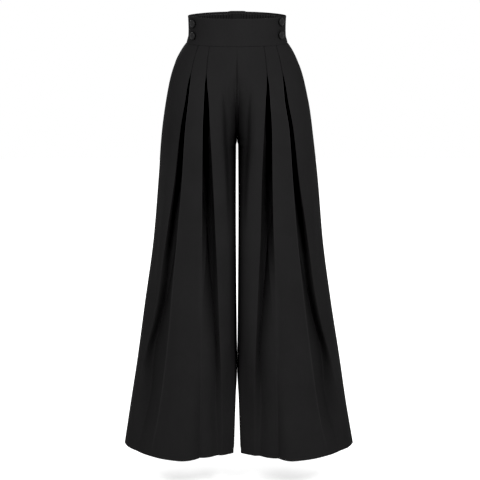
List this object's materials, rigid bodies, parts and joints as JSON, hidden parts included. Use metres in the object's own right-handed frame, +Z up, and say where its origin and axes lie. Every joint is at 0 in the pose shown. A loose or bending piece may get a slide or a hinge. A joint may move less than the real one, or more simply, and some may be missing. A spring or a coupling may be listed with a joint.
{
  "type": "palazzo pants",
  "caption": "High-waisted wide-leg trousers with a deep flat front waistband, side buttons, elastic back and released front pleats.",
  "frame": {"origin": "centre of the waist, half way up the waistband, where the wearer's waist holds the garment", "axes": "+Z up from hems to waistband, -Y to the wearer's front, +X to the wearer's left"},
  "size_m": [0.574, 0.2668, 1.0685],
  "materials": {
    "crepe": "matt charcoal black woven crepe",
    "covered_button": "charcoal black cloth stretched over a domed button"
  },
  "bodies": {
    "root": {"waistband_front": "crepe", "waistband_back": "crepe", "front_leg_right": "crepe", "front_leg_left": "crepe", "back_leg_right": "crepe", "back_leg_left": "crepe", "button_right_upper": "covered_button", "button_right_lower": "covered_button", "button_left_upper": "covered_button", "button_left_lower": "covered_button"}
  },
  "joints": []
}
